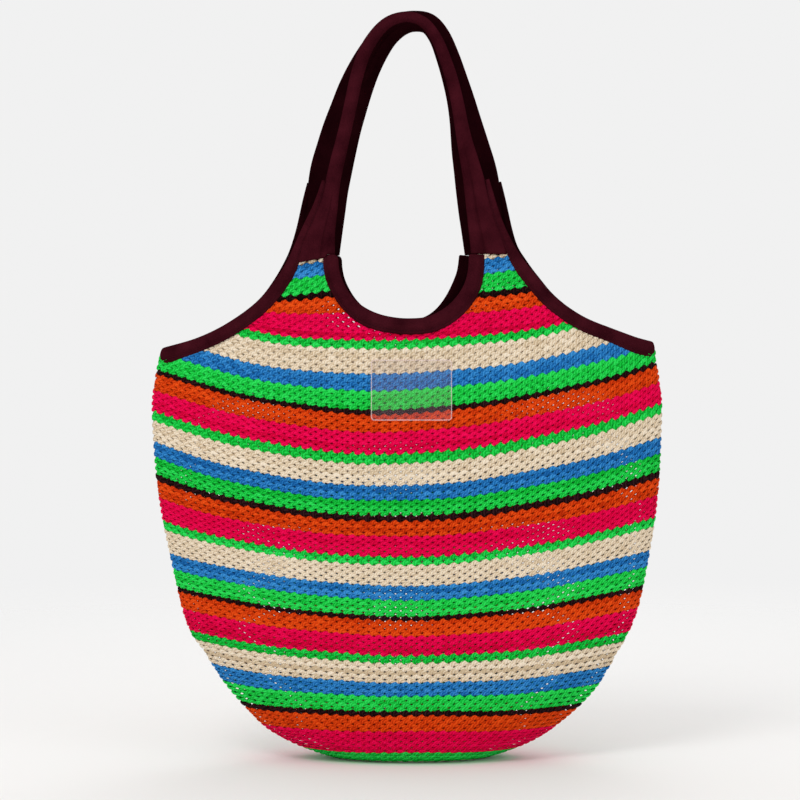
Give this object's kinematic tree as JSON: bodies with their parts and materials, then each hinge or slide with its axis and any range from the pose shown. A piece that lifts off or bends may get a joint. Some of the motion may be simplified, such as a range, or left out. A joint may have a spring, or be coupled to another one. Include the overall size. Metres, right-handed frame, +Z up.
{
  "type": "shoulder bag of striped openwork yarn",
  "caption": "Slouchy shoulder bag worked in bright striped openwork yarn, with padded dark burgundy bindings, two upright cloth handles and a small clear patch on its front.",
  "frame": {"origin": "under the middle of the bag, on the surface it stands on", "axes": "+Z up, front with the clear patch towards -Y, +X to the right as seen from the front"},
  "size_m": [0.433, 0.1132, 0.636],
  "materials": {
    "yarn_pink": "matte",
    "yarn_green": "matte",
    "yarn_cream": "matte",
    "yarn_blue": "matte",
    "yarn_orange": "matte",
    "yarn_black": "matte",
    "binding_cloth": "matte",
    "clear_plastic": "satin"
  },
  "bodies": {
    "root": {"panel_front": "yarn_pink", "panel_back": "yarn_pink", "neck_binding_front": "binding_cloth", "neck_binding_back": "binding_cloth", "arm_binding_left": "binding_cloth", "arm_binding_right": "binding_cloth", "handle_front": "binding_cloth", "handle_back": "binding_cloth", "clear_patch": "clear_plastic"}
  },
  "joints": []
}
